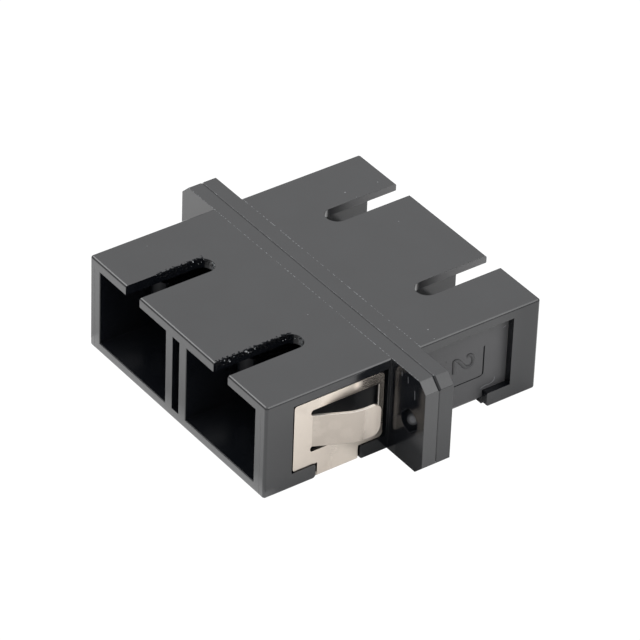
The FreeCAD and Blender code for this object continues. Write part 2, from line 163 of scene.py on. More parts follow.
def distance_to(material, place, spot):
    """How far a point lies from a spot, in millimetres."""
    gap = add_node(material, "VectorMath", {"operation": "DISTANCE"})
    join(material, place["point"], gap.inputs[0])
    gap.inputs[1].default_value = spot
    return gap.outputs["Value"]


def blend(material, share, plain, marked):
    """A colour that goes from plain to marked with the share."""
    made = add_node(material, "Mix", {"data_type": "RGBA"})
    join(material, share, made.inputs["Factor"])
    for socket, colour in ((made.inputs[6], plain), (made.inputs[7], marked)):
        if isinstance(colour, tuple):
            socket.default_value = colour
        else:
            join(material, colour, socket)
    return made.outputs[2]


print("noise counts its lumps to the millimetre")

# %% [markdown]
# A mask is a value that is 1 on some face or spot and 0 elsewhere. It could be painted as a picture, but a
# mask made of sizes stays sharp at any distance and moves with the sizes. Masks are multiplied where all must
# hold, and the larger one is taken where any may hold.

# %% Masks
def spread(material, value, low, high, start, end):
    """A value from one range laid over another."""
    made = add_node(material, "MapRange", From_Min=low, From_Max=high, To_Min=start, To_Max=end)
    join(material, value, made.inputs["Value"])
    return made.outputs["Result"]


def rise(material, value, low, high):
    """0 up to the low value, 1 from the high one on, and a ramp between them."""
    return spread(material, value, low, high, 0.0, 1.0)


def fall(material, value, low, high):
    """1 up to the low value, 0 from the high one on, and a ramp between them."""
    return spread(material, value, low, high, 1.0, 0.0)


def near(material, value, middle, reach):
    """1 where a value lies within reach of a middle, else 0."""
    return sum_of(material, "COMPARE", value, middle, reach)


def above(material, value, limit):
    """1 where a value is larger than a limit, else 0."""
    return sum_of(material, "GREATER_THAN", value, limit)


def below(material, value, limit):
    """1 where a value is smaller than a limit, else 0."""
    return sum_of(material, "LESS_THAN", value, limit)


def gap_to(material, value, middle):
    """How far a value lies from a middle, on either side."""
    return sum_of(material, "ABSOLUTE", sum_of(material, "SUBTRACT", value, middle))


def all_of(material, *masks):
    """Masks and plain numbers multiplied: 1 where all of them are."""
    product = masks[0]
    for mask in masks[1:]:
        product = sum_of(material, "MULTIPLY", product, mask)
    return product


def any_of(material, *masks):
    """The largest of several masks: 1 where any of them is."""
    largest = masks[0]
    for mask in masks[1:]:
        largest = sum_of(material, "MAXIMUM", largest, mask)
    return largest


def inverse(material, mask):
    """1 where a mask is 0, and 0 where it is 1."""
    return sum_of(material, "SUBTRACT", 1.0, mask)


def raised(material, value, mask, amount):
    """A value that is larger by an amount where a mask is 1."""
    return sum_of(material, "ADD", value, all_of(material, mask, amount))


def lowered(material, value, mask, amount):
    """A value that is smaller by an amount where a mask is 1."""
    return sum_of(material, "SUBTRACT", value, all_of(material, mask, amount))


print("masks go from 0 to 1")

# %% [markdown]
# The adapter stands on white paper in a photographer's tent, and catalogue pictures burn the paper out to
# pure white. It could be lit until it is white, but then it would light the adapter far too much. So the
# camera sees the paper as white, while the adapter mirrors it as paper with the adapter's own shadow on it.
# A bright band painted on the paper before the mouths stands in for a lit card as painted light, and painted
# shade darkens the paper in the corner in front of the right half of the flange.

# %% Floor
PAPER_SIZE = 6000.0
PAPER_DROP = 0.02
PAPER = (0.8, 0.8, 0.8, 1.0)
PAPER_SHADED = (0.10, 0.10, 0.10, 1.0)
PAPER_ROUGHNESS = 0.9
PAPER_SHEEN = 0.1
PAPER_GLOW = 0.30
# The painted band of light is a bright band along X on the paper, which fades towards both sides.
PAINTED_BAND_GLOW = 1.00
PAINTED_BAND_LINE = -13.8
PAINTED_BAND_HALF = 13.5
PAINTED_BAND_CORE = 0.2
PAINTED_BAND_WIDTH = 1.8
# The painted shade of the dark corner is a rectangle on the paper, with soft edges.
CORNER = (15.3, -2.45)
CORNER_HALF = (2.8, 0.95)
CORNER_FADE = 0.8
CORNER_DEPTH = 0.66
# What the camera sees of the paper, a little over white.
BURNT_OUT = 1.05


def paper_glow(sheet, place, shade):
    """How much light the paper gives back: most on the painted band, least in the corner's painted shade."""
    painted_band = spread(sheet, gap_to(sheet, place["y"], PAINTED_BAND_LINE), PAINTED_BAND_CORE, PAINTED_BAND_WIDTH, PAINTED_BAND_GLOW, 0.0)
    painted_band = all_of(sheet, painted_band, near(sheet, place["x"], 0.0, PAINTED_BAND_HALF))
    glow = sum_of(sheet, "ADD", painted_band, PAPER_GLOW)
    return all_of(sheet, glow, inverse(sheet, shade))


def show_burnt_out(sheet, shader):
    """Pure white for the camera alone, and the paper itself for all that is mirrored or lit by it."""
    shine = add_node(sheet, "Emission", Strength=BURNT_OUT)
    seen = add_node(sheet, "LightPath")
    chosen = add_node(sheet, "MixShader")
    join(sheet, seen.outputs["Is Camera Ray"], chosen.inputs["Fac"])
    join(sheet, shader.outputs["BSDF"], chosen.inputs[1])
    join(sheet, shine.outputs["Emission"], chosen.inputs[2])
    join(sheet, chosen.outputs["Shader"], sheet.node_tree.nodes["Material Output"].inputs["Surface"])


def lay_paper():
    """A white sheet, much larger than the view."""
    bpy.ops.mesh.primitive_plane_add(size=PAPER_SIZE * MM, location=(0.0, 0.0, -PAPER_DROP * MM))
    paper = bpy.context.object
    paper.name = "white_paper"
    sheet, shader = new_material("white_paper")
    place = millimetres(sheet)
    # Painted shade: the paper darkens in a soft rectangle in the corner in front of the flange.
    shade = CORNER_DEPTH
    for axis, middle, half in zip("xy", CORNER, CORNER_HALF):
        gap = gap_to(sheet, place[axis], middle)
        shade = all_of(sheet, fall(sheet, gap, half, half + CORNER_FADE), shade)
    join(sheet, blend(sheet, shade, PAPER, PAPER_SHADED), shader.inputs["Base Color"])
    join(sheet, paper_glow(sheet, place, shade), shader.inputs["Emission Strength"])
    shader.inputs["Emission Color"].default_value = WHITE
    shader.inputs["Roughness"].default_value = PAPER_ROUGHNESS
    shader.inputs["Specular IOR Level"].default_value = PAPER_SHEEN
    show_burnt_out(sheet, shader)
    paper.data.materials.append(sheet)
    return paper


print("paper is", round(lay_paper().dimensions.x, 1), "m wide")

# %% [markdown]
# The tent is dark near the table and grows brighter upwards, and three lit panels hang in it: a wide one
# overhead, a long one high on the right, which gives the long edges and the cut corners of the flange their
# shine, and a tall one on the left, which draws the thin bright line along the rims of the mouths. Lamps
# could be used, but glossy plastic shows what it mirrors, so each light has the size of a real panel.

# %% Tent and panels
TENT_SLOPE = 2.75
TENT_LOWEST = 0.08
# Name, direction, distance, length and width, and radiance.
PANELS = [
    ("overhead_panel", (0.0, 0.0, 1.0), 900.0, (1100.0, 1100.0), 2.0),
    ("right_panel", (0.386, 0.487, 0.783), 800.0, (1000.0, 260.0), 4.4),
    ("left_panel", (-0.646, -0.04, 0.76), 800.0, (200.0, 600.0), 6.0),
]


def hang_tent():
    """A white world whose brightness grows with height."""
    world = bpy.data.worlds.new("tent")
    world.use_nodes = True
    coordinates = add_node(world, "TexCoord")
    parts = add_node(world, "SeparateXYZ")
    join(world, coordinates.outputs["Generated"], parts.inputs[0])
    growing = sum_of(world, "MULTIPLY", parts.outputs["Z"], TENT_SLOPE)
    background = world.node_tree.nodes["Background"]
    join(world, sum_of(world, "MAXIMUM", growing, TENT_LOWEST), background.inputs["Strength"])
    background.inputs["Color"].default_value = WHITE
    bpy.context.scene.world = world


def hang_panel(name, direction, distance, sides, radiance):
    """A lit panel that faces the adapter."""
    towards = Vector(direction).normalized()
    along = Vector((towards.z, 0.0, -towards.x)).normalized()
    turn = Matrix((along, towards.cross(along), towards)).transposed()
    bpy.ops.mesh.primitive_plane_add(size=1.0)
    panel = bpy.context.object
    length, width = sides
    scale = Matrix.Diagonal((length * MM, width * MM, 1.0, 1.0))
    panel.matrix_world = Matrix.Translation(towards * distance * MM) @ turn.to_4x4() @ scale
    panel.name = name
    cloth, shader = new_material(name)
    shader.inputs["Base Color"].default_value = BLACK
    shader.inputs["Specular IOR Level"].default_value = 0.0
    shader.inputs["Emission Color"].default_value = WHITE
    shader.inputs["Emission Strength"].default_value = radiance
    panel.data.materials.append(cloth)


hang_tent()
for panel in PANELS:
    hang_panel(*panel)
bpy.context.scene.view_settings.view_transform = "Standard"
print("panels:", [panel[0] for panel in PANELS])

# %% [markdown]
# Both housings are moulded in glossy black plastic. Its colour is nearly black with a cool cast, so almost
# all of the light on it is mirrored from the tent and the paper. A plain colour would look like paint.
# Several marks keep it from that, and they come first. Thin broken lines of flash run where the flange meets
# the top, specks of melted plastic lie along the weld seam, and a few grains of dust lie on the top.

# %% Marks on the top
BODY_TOP = 9.1
TOP_LAYER = 0.02
FLASH_LINES = (-1.37, 1.50)
FLASH_WIDTH = 0.055
# A noise is given as lumps to the millimetre and detail, and a range as the values between which it counts.
FLASH_NOISE = (4.5, 3.0)
FLASH_RANGE = (0.50, 0.66)
SPECK_LINE = 0.03
SPECK_WIDTH = 0.07
SPECK_NOISE = (2.6, 2.0)
SPECK_RANGE = (0.56, 0.66)
# Across, along and radius of each grain.
DUST = [
    (11.06, 3.42, 0.07), (12.35, 3.09, 0.05), (-8.65, 9.34, 0.08), (-8.42, 12.60, 0.06),
    (-7.05, 11.25, 0.06), (-7.56, 9.75, 0.04), (-2.70, 10.60, 0.05), (4.01, -3.56, 0.05),
    (-11.21, -9.12, 0.04), (-6.20, 1.55, 0.04),
]


def flash_mask(material, place):
    """Broken light lines where the flange meets the body, left by the parting line of the mould."""
    width = spread(material, noise(material, place, *FLASH_NOISE), *FLASH_RANGE, 0.0, FLASH_WIDTH)
    return any_of(material, *(near(material, place["y"], line, width) for line in FLASH_LINES))


def speck_mask(material, place):
    """Bright specks of melted plastic along the weld seam."""
    width = spread(material, noise(material, place, *SPECK_NOISE), *SPECK_RANGE, 0.0, SPECK_WIDTH)
    return near(material, place["y"], SPECK_LINE, width)


def dust_mask(material, place):
    """Grains of dust at the places where they lie."""
    grains = []
    for across, along, radius in DUST:
        gap = distance_to(material, place, (across, along, BODY_TOP))
        grains.append(below(material, gap, radius))
    return any_of(material, *grains)


print("dust:", len(DUST), "grains")

# %% [markdown]
# The left walls of the two front keyways were cut roughly. The wall is rugged there, and chips run from its
# edge into the top, painted dark as shade for their hollows. The round end gets painted light on its right
# and painted shade on its left. The walls of the rear keyways are smooth and duller, with painted shade
# towards their round ends and painted light towards the back. Chips could be modelled one by one, but a mask
# whose width follows noise gives the same ragged edge, and the crumbs that stand out of it come later as a
# shape.

# %% Marks of the keyways
KEY_WALLS = (-7.375, 5.325)
ROUGH_FROM = (-10.8, -13.5)
ROUGH_TO = -6.1
KEY_ROUND = 1.025
ROUND_END = -6.825
# How far a mask reaches past the face that it marks.
FACE_REACH = 0.03
END_REACH = 0.10
# Where the painted light on a round end begins and is full, from the middle of the keyway.
END_RAMP = (-0.45, 0.15)
CHIP_REACH = 0.26
CHIP_NOISE = (4.5, 3.0)
CHIP_RANGE = (0.42, 0.62)


def rough_wall_mask(material, place, width):
    """1 on the roughly cut walls of the front keyways and within a width of them."""
    walls = []
    for wall, front in zip(KEY_WALLS, ROUGH_FROM):
        across = near(material, place["x"], wall, width)
        along = near(material, place["y"], (front + ROUGH_TO) / 2, (ROUGH_TO - front) / 2)
        walls.append(all_of(material, across, along))
    return any_of(material, *walls)


def rear_wall_mask(material, place):
    """1 on the walls of the rear keyways that face the clip side, which are dull."""
    walls = any_of(material, *(near(material, place["x"], wall, FACE_REACH) for wall in KEY_WALLS))
    return all_of(material, walls, above(material, place["y"], 0.0))


def chip_mask(material, place):
    """Chips that run into the top from the upper edge of the rough walls, later painted dark as shade in
    their hollows.
    """
    width = spread(material, noise(material, place, *CHIP_NOISE), *CHIP_RANGE, 0.0, CHIP_REACH)
    return rough_wall_mask(material, place, width)


def round_end_masks(material, place):
    """Within the round ends of the front keyways: their right part, which gets painted light, and their left
    part, which gets painted shade.
    """
    light = []
    dark = []
    for wall in KEY_WALLS:
        middle = wall + KEY_ROUND
        across = near(material, place["x"], middle, KEY_ROUND + FACE_REACH)
        along = near(material, place["y"], ROUND_END + KEY_ROUND / 2, KEY_ROUND / 2 + END_REACH)
        end = all_of(material, across, along)
        # Painted light fades in across the round end towards its right, and the rest of the end gets painted
        # shade.
        right = rise(material, place["x"], middle + END_RAMP[0], middle + END_RAMP[1])
        lit = all_of(material, end, right)
        light.append(lit)
        dark.append(sum_of(material, "SUBTRACT", end, lit))
    return any_of(material, *light), any_of(material, *dark)


print("rough walls at x =", KEY_WALLS, "mm")

# %% [markdown]
# Other faces differ too. The floors of the clip pockets are duller, because a rougher mould insert formed
# them. A painted highlight lies on a spot in the right screw hole, painted shade darkens some faces by
# lowering how much they mirror, and painted light lifts the front half of the flange's sides.
# Each could have a material of its own, but then the housing would have to be cut up. One material with
# named masks keeps it whole. This cell makes the masks, and the three tables of the next one say what each
# of them changes.

# %% Faces of the housings
BODY_SIDE = 12.70
POCKET_FLOOR = 12.0
POCKET_TOP = 8.3
POCKET_END = 11.10
FLOOR_REACH = 0.04
FAR_END = (POCKET_END - 2.0, POCKET_END + 1.0)
GAP_END = 8.70
LIP_HEIGHT = 1.45
FLANGE_FRONT = -1.42
FLANGE_SIDE = 17.30
SHADED_FROM = 13.7
SEAM_HALF = 0.02
# On the cut corners of the flange, the distance from the middle plane and the height add up to this.
CORNER_SUM = 25.54
CORNER_REACH = 0.04
# A painted highlight inside the right screw hole: its middle, and the radii where it is full and where it
# ends.
BORE_SPOT = (14.57, -0.47, 3.77)
BORE_CORE = 0.15
BORE_REACH = 0.55
# Ranges along Y over which the painted shade and the painted light on the rear walls fade.
WALL_FRONT = (6.0, 9.0)
WALL_BACK = (6.4, 9.4)
WALL_BACK_SHARE = 1.2
CRUMB_NOISE = (6.0, 3.0)
CRUMB_RANGE = (0.40, 0.60)
CRUMB_LEAST = 0.3


def face_masks(material, place):
    """The faces of a housing that mirror less or more, by name: duller pocket floors, painted shade, light
    and a highlight.
    """
    x, y, z = place["x"], place["y"], place["z"]
    width = sum_of(material, "ABSOLUTE", x)
    behind = above(material, y, 0.0)
    floor = all_of(material, near(material, width, POCKET_FLOOR, FLOOR_REACH), below(material, z, POCKET_TOP))
    side = near(material, width, FLANGE_SIDE, FACE_REACH)
    corner = near(material, sum_of(material, "ADD", width, z), CORNER_SUM, CORNER_REACH)
    bore = distance_to(material, place, BORE_SPOT)
    return {
        "pocket_floor": floor,
        "rear_floor": all_of(material, floor, behind),
        "painted_bore_highlight": fall(material, bore, BORE_CORE, BORE_REACH),
        # Painted shade on the right flange's front, the cut corners, the lip notch and the far end; painted
        # light on the flange sides' front half.
        "right_flange_painted_shade": all_of(material, near(material, y, FLANGE_FRONT, FACE_REACH),
                             above(material, x, SHADED_FROM)),
        "flange_side_painted_light": all_of(material, side, fall(material, y, -SEAM_HALF, SEAM_HALF)),
        "flange_side_painted_shade": all_of(material, side, rise(material, y, -SEAM_HALF, SEAM_HALF)),
        "cut_corner_painted_shade": all_of(material, corner, behind),
        "lip_notch_painted_shade": all_of(material, near(material, y, GAP_END, FACE_REACH), below(material, z, LIP_HEIGHT)),
        "far_end_painted_shade": all_of(material, near(material, x, BODY_SIDE, FACE_REACH), rise(material, y, *FAR_END)),
    }


def top_and_keyway_masks(material, place):
    """The marks of the top and of the keyways, by name, with the painted light and shade in the keyways."""
    y = place["y"]
    on_top = above(material, place["z"], BODY_TOP - TOP_LAYER)
    off_top = inverse(material, on_top)
    lines = any_of(material, flash_mask(material, place), speck_mask(material, place))
    rear_wall = all_of(material, rear_wall_mask(material, place), off_top)
    painted_light_end, painted_shade_end = round_end_masks(material, place)
    painted_light_end = all_of(material, painted_light_end, off_top)
    crumbs = noise(material, place, *CRUMB_NOISE)
    torn = spread(material, crumbs, *CRUMB_RANGE, CRUMB_LEAST, 1.0)
    return {
        "pale_mark": any_of(material, all_of(material, on_top, lines), dust_mask(material, place)),
        "chip": all_of(material, on_top, chip_mask(material, place)),
        "rear_wall": rear_wall,
        # Painted shade on the rear keyway walls towards their round ends, and painted light towards the back.
        "rear_wall_painted_shade": all_of(material, rear_wall, fall(material, y, *WALL_FRONT)),
        "rear_wall_painted_light": all_of(material, rear_wall, rise(material, y, *WALL_BACK), WALL_BACK_SHARE),
        "painted_light_end": painted_light_end,
        "torn_painted_light_end": all_of(material, painted_light_end, torn),
        "painted_shade_end": all_of(material, painted_shade_end, off_top),
        "rugged_wall": all_of(material, rough_wall_mask(material, place, FACE_REACH), crumbs),
    }


print("pocket floors at x =", POCKET_FLOOR, "mm")

# %% [markdown]
# The plastic itself is the same for the housings and the latch inserts: a cloudy, nearly black colour, a
# gloss that handling smeared, and a fine orange-peel grain that mould steel leaves. A function adds to it
# what only the housings have, and another what only the inserts have: a painted reflection on the hooks'
# ramps, whose sheen is lowered most at their edges, so that each shows a soft patch in the keyways.

# %% Black moulding
MOULDING_DARK = (0.0027, 0.0032, 0.0044, 1.0)
MOULDING_LIGHT = (0.0043, 0.0049, 0.0063, 1.0)
POCKET_GREY = (0.056, 0.056, 0.058, 1.0)
PLAIN_SHEEN = 0.5
PLASTIC_IOR = 1.5
# Lumps to the millimetre, detail, and stretch along the three axes.
CLOUD_NOISE = (0.22, 3.0)
SMEAR_NOISE = (1.1, 4.0, (1.0, 0.35, 1.0))
PEEL_NOISE = (9.0, 2.0)
CLOUD_RANGE = (0.35, 0.65)
SMEAR_RANGE = (0.35, 0.70)
ROUGHNESS_RANGE = (0.13, 0.20)
PEEL_HEIGHT = 0.05
PEEL_BUMP = {"Strength": 0.35, "Distance": 0.02 * MM}
MOULDED_EDGE = 0.035
EDGE_SAMPLES = 6
RAMP_MIDDLE = 8.65
RAMP_HALF = 0.35
RAMP_SHEEN = (0.16, 0.03)
RAMP_ROUGHER = 0.25
# The bore spot is a painted highlight, and the back of the rear keyway walls and the torn right part of the
# round ends are painted light.
MARK_COLOURS = {
    "pale_mark": (0.085, 0.089, 0.094, 1.0),
    "rear_floor": POCKET_GREY,
    "painted_bore_highlight": (0.22, 0.225, 0.235, 1.0),
    "rear_wall_painted_light": POCKET_GREY,
    "torn_painted_light_end": (0.150, 0.154, 0.160, 1.0),
}
ROUGHER = {
    "pocket_floor": 0.25, "painted_bore_highlight": 0.20, "rear_wall": 0.22, "painted_light_end": 0.25, "pale_mark": 0.40,
}
# A face with a negative loss mirrors more than the rest. Beyond the rear pocket floor, the losses and gains
# are painted shade and painted light, and the chips' loss is painted shade for their hollows.
LESS_SHEEN = {
    "chip": 0.48, "rear_floor": 0.32, "right_flange_painted_shade": 0.26, "lip_notch_painted_shade": 0.38, "painted_shade_end": 0.34,
    "rear_wall_painted_shade": 0.42, "far_end_painted_shade": 0.13, "cut_corner_painted_shade": 0.11, "flange_side_painted_light": -0.08,
    "flange_side_painted_shade": 0.05,
}


def mark_housing(material, place, look):
    """Add the marks of a housing to the plastic's look, with its painted shade, light and highlight."""
    masks = face_masks(material, place) | top_and_keyway_masks(material, place)
    for name, marked in MARK_COLOURS.items():
        look["colour"] = blend(material, masks[name], look["colour"], marked)
    for name, amount in ROUGHER.items():
        look["roughness"] = raised(material, look["roughness"], masks[name], amount)
    for name, amount in LESS_SHEEN.items():
        look["sheen"] = lowered(material, look["sheen"], masks[name], amount)
    look["height"] = sum_of(material, "ADD", look["height"], masks["rugged_wall"])


def mark_insert(material, place, look):
    """Add a painted reflection on the ramps of the hooks: their sheen is lowered, most at their two edges."""
    along = sum_of(material, "ABSOLUTE", place["y"])
    ramp = near(material, along, RAMP_MIDDLE, RAMP_HALF)
    on_ramp = spread(material, gap_to(material, along, RAMP_MIDDLE), 0.0, RAMP_HALF, *RAMP_SHEEN)
    off_ramp = all_of(material, inverse(material, ramp), look["sheen"])
    look["sheen"] = sum_of(material, "ADD", off_ramp, all_of(material, ramp, on_ramp))
    look["roughness"] = raised(material, look["roughness"], ramp, RAMP_ROUGHER)


def round_and_bump(material, shader, edge_radius, height, bump):
    """Softly rounded edges and a fine grain in the shader's normal."""
    edge = add_node(material, "Bevel", {"samples": EDGE_SAMPLES}, Radius=edge_radius * MM)
    relief = add_node(material, "Bump", **bump)
    join(material, edge.outputs["Normal"], relief.inputs["Normal"])
    join(material, height, relief.inputs["Height"])
    join(material, relief.outputs["Normal"], shader.inputs["Normal"])


def black_moulding(name, add_marks):
    """Glossy black plastic, with the marks that a function adds."""
    material, shader = new_material(name)
    place = millimetres(material)
    cloud = rise(material, noise(material, place, *CLOUD_NOISE), *CLOUD_RANGE)
    smear = noise(material, place, *SMEAR_NOISE)
    look = {
        "colour": blend(material, cloud, MOULDING_DARK, MOULDING_LIGHT),
        "roughness": spread(material, smear, *SMEAR_RANGE, *ROUGHNESS_RANGE),
        "sheen": PLAIN_SHEEN,
        "height": all_of(material, noise(material, place, *PEEL_NOISE), PEEL_HEIGHT),
    }
    add_marks(material, place, look)
    shader.inputs["IOR"].default_value = PLASTIC_IOR
    join(material, look["colour"], shader.inputs["Base Color"])
    join(material, look["roughness"], shader.inputs["Roughness"])
    join(material, look["sheen"], shader.inputs["Specular IOR Level"])
    round_and_bump(material, shader, MOULDED_EDGE, look["height"], PEEL_BUMP)
    return material


housing_black = black_moulding("housing_black", mark_housing)
insert_black = black_moulding("insert_black", mark_insert)
print("plastics:", housing_black.name, insert_black.name)

# %% [markdown]
# The clip is stamped from bright nickel-plated spring strip. The press leaves dull cut edges, painted near
# white for their highlights. The tongue, which was bent by a tool, is painted a little darker than the flat
# wings where it tilts out, as painted shade, and has small scuffs where panels were pushed past it. The right
# wing is rougher and painted lighter along its upper bar and on the strap, with a painted highlight on the
# bar. As on the housings, masks made of sizes say where each of these lies, so that the strip stays one
# piece.

# %% Worn, painted shade, cut and painted light parts of the clip
WING_FACE = 12.58
WING_REACH = 0.10
TONGUE_ROOT = -9.08
TONGUE_TIP = -3.41
TONGUE_MIDDLE = 4.88
TONGUE_HALF = 1.54
EDGE_REACH = 0.02
BENT_OUT = 0.50
BENT_LEAST = 0.85
BENT_UNTIL = (-4.9, -3.9)
BLOTCH_NOISE = (0.9, 4.0)
BLOTCH_RANGE = (0.45, 0.70)
BLOTCH_WEAR = (-0.10, 0.20)
SCUFF_NOISE = (5.0, 3.0, (1.0, 0.30, 1.0))
SCUFF_RANGE = (0.50, 0.68)
SCUFF_WEAR = (0.0, 1.3)
WINDOW_EDGE = -2.46
WINDOW_TOP = 6.98
WALL_MIDDLE = -0.065
WALL_HALF = 0.055
UPPER_EDGE_SHARE = 0.45
# Ranges in millimetres along Y, or of height, and how much painted light and roughness the strip gets at the
# two ends of each.
BAR_FROM = (-8.7, -7.0)
BAR_UNTIL = (-4.6, -4.2)
BAR_END = 0.18
BAR_HEIGHTS = (7.1, 7.9)
BAR_SHARES = (0.20, 0.38)
# A painted highlight on the upper bar: its middle, the radii where it is full and where it ends, and its
# share.
PAINTED_HIGHLIGHT_SPOT = (WING_FACE, -4.75, 7.75)
PAINTED_HIGHLIGHT_REACH = (0.10, 0.65)
PAINTED_HIGHLIGHT_SHARE = 0.85
STRAP_HEIGHTS = (1.5, 3.2)
STRAP_ALONG = (-7.5, -4.6)
STRAP_SHARES = (0.02, 0.40)
TIP_ALONG = (-5.2, -4.2)
TIP_OUT = 0.8


def tongue_length_mask(material, place):
    """1 between the root and the tip of the tongues."""
    return all_of(material, above(material, place["y"], TONGUE_ROOT), below(material, place["y"], TONGUE_TIP))


def shade_and_wear_mask(material, place, out):
    """Painted shade on the bent tongues where they tilt out, with blotches of wear everywhere and scuffs on
    the tongues.
    """
    # Painted shade: the bent part of each tongue gets the darker colour.
    bent = all_of(material, spread(material, out, 0.0, BENT_OUT, BENT_LEAST, 1.0),
                  near(material, place["z"], TONGUE_MIDDLE, TONGUE_HALF + EDGE_REACH),
                  tongue_length_mask(material, place),
                  fall(material, place["y"], *BENT_UNTIL))
    blotches = spread(material, noise(material, place, *BLOTCH_NOISE), *BLOTCH_RANGE, *BLOTCH_WEAR)
    scuffs = spread(material, noise(material, place, *SCUFF_NOISE), *SCUFF_RANGE, *SCUFF_WEAR)
    shade_and_wear = sum_of(material, "ADD", bent, blotches, clamp=True)
    return any_of(material, shade_and_wear, all_of(material, scuffs, bent))


def cut_edge_highlight_mask(material, place, out):
    """The cut edges that the press left, painted light for their highlights: the window's near end and the
    tongues' upper edges.
    """
    window = all_of(material, near(material, place["y"], WINDOW_EDGE, EDGE_REACH),
                    near(material, out, WALL_MIDDLE, WALL_HALF))
    upper = all_of(material, near(material, place["z"], TONGUE_MIDDLE + TONGUE_HALF, EDGE_REACH),
                   tongue_length_mask(material, place), UPPER_EDGE_SHARE)
    return any_of(material, window, upper)


def dull_painted_light_mask(material, place):
    """Where the right wing is rougher and painted lighter: along its upper bar, at a painted highlight on it,
    and down the strap.
    """
    y, z = place["y"], place["z"]
    bar = all_of(material, rise(material, y, *BAR_FROM), spread(material, y, *BAR_UNTIL, 1.0, BAR_END),
                 spread(material, z, *BAR_HEIGHTS, *BAR_SHARES))
    gap = distance_to(material, place, PAINTED_HIGHLIGHT_SPOT)
    bar = any_of(material, bar, spread(material, gap, *PAINTED_HIGHLIGHT_REACH, PAINTED_HIGHLIGHT_SHARE, 0.0))
    bar = all_of(material, bar, above(material, z, WINDOW_TOP))
    strap = all_of(material, fall(material, z, *STRAP_HEIGHTS),
                   spread(material, y, *STRAP_ALONG, *STRAP_SHARES))
    return all_of(material, any_of(material, bar, strap), near(material, place["x"], WING_FACE, WING_REACH))


def tip_mask(material, place, out):
    """The lighter tips of the tongues."""
    return all_of(material, rise(material, place["y"], *TIP_ALONG), above(material, out, TIP_OUT))


print("wings stand at x =", WING_FACE, "mm")

# %% [markdown]
# The strip's own finish is a metal with a warm cast and a fine grain that rolling leaves along it. A
# brushed picture could give the grain, but noise that is stretched along the strip does so without one. Over
# the wear and painted shade of the tongues, the colours of the tips, the painted light of the rougher parts
# and the painted highlights of the cut edges are laid one after the other, and the same masks make these
# parts rougher.

# %% Spring strip
STRIP_COLOUR = (0.455, 0.408, 0.360, 1.0)
# The darker colour is wear and painted shade; the two lightest are painted light on the rougher parts and
# painted highlights on the cut edges.
STRIP_WORN_AND_SHADED = (0.298, 0.267, 0.235, 1.0)
STRIP_TIP = (0.545, 0.49, 0.435, 1.0)
STRIP_PAINTED_LIGHT = (0.97, 0.89, 0.79, 1.0)
STRIP_CUT_HIGHLIGHT = (0.97, 0.94, 0.90, 1.0)
STRIP_NOISE = (14.0, 2.0, (1.0, 0.06, 1.0))
STRIP_RANGE = (0.35, 0.65)
STRIP_ROUGHNESS = (0.21, 0.26)
STRIP_BUMP = {"Strength": 0.03, "Distance": 0.006 * MM}
STAMPED_EDGE = 0.04
CUT_ROUGHER = 0.55
TIP_ROUGHER = 0.25


def spring_strip():
    """Nickel-plated steel with a rolled grain, worn and painted darker on the bent tongues, with painted
    light laid over it.
    """
    material, shader = new_material("spring_strip")
    place = millimetres(material)
    out = sum_of(material, "SUBTRACT", sum_of(material, "ABSOLUTE", place["x"]), WING_FACE)
    cut_highlight = cut_edge_highlight_mask(material, place, out)
    dull_light = dull_painted_light_mask(material, place)
    tip = tip_mask(material, place, out)
    colour = blend(material, shade_and_wear_mask(material, place, out), STRIP_COLOUR, STRIP_WORN_AND_SHADED)
    for mask, marked in ((tip, STRIP_TIP), (dull_light, STRIP_PAINTED_LIGHT), (cut_highlight, STRIP_CUT_HIGHLIGHT)):
        colour = blend(material, mask, colour, marked)
    join(material, colour, shader.inputs["Base Color"])
    grain = noise(material, place, *STRIP_NOISE)
    gloss = spread(material, grain, *STRIP_RANGE, *STRIP_ROUGHNESS)
    gloss = raised(material, gloss, any_of(material, cut_highlight, dull_light), CUT_ROUGHER)
    gloss = raised(material, gloss, tip, TIP_ROUGHER)
    join(material, gloss, shader.inputs["Roughness"])
    shader.inputs["Metallic"].default_value = 1.0
    round_and_bump(material, shader, STAMPED_EDGE, grain, STRIP_BUMP)
    return material


steel = spring_strip()
print("metal:", steel.name)

# %% [markdown]
# The two alignment sleeves are rolled from thin phosphor bronze. It is a warm brown metal that grows darker
# in patches where hands or flux have touched it, and rolling leaves a fine grain along the sleeve. Both are
# made of noise: one stretched along the sleeve for the grain, and one in large lumps for the tarnish.

# %% Rolled bronze
BRONZE_BRIGHT = (0.72, 0.50, 0.30, 1.0)
BRONZE_TARNISHED = (0.46, 0.29, 0.16, 1.0)
BRONZE_NOISE = (12.0, 2.0, (1.0, 0.05, 1.0))
BRONZE_RANGE = (0.35, 0.65)
BRONZE_ROUGHNESS = (0.22, 0.32)
BRONZE_BUMP = {"Strength": 0.1, "Distance": 0.01 * MM}
TARNISH_NOISE = (0.8, 3.0)
TARNISH_RANGE = (0.4, 0.65)
TARNISH_ROUGHER = 0.12


def rolled_bronze():
    """Phosphor bronze with a grain along Y and patches of tarnish."""
    material, shader = new_material("rolled_bronze")
    place = millimetres(material)
    grain = noise(material, place, *BRONZE_NOISE)
    tarnish = rise(material, noise(material, place, *TARNISH_NOISE), *TARNISH_RANGE)
    join(material, blend(material, tarnish, BRONZE_BRIGHT, BRONZE_TARNISHED), shader.inputs["Base Color"])
    gloss = spread(material, grain, *BRONZE_RANGE, *BRONZE_ROUGHNESS)
    join(material, raised(material, gloss, tarnish, TARNISH_ROUGHER), shader.inputs["Roughness"])
    shader.inputs["Metallic"].default_value = 1.0
    relief = add_node(material, "Bump", **BRONZE_BUMP)
    join(material, grain, relief.inputs["Height"])
    join(material, relief.outputs["Normal"], shader.inputs["Normal"])
    return material


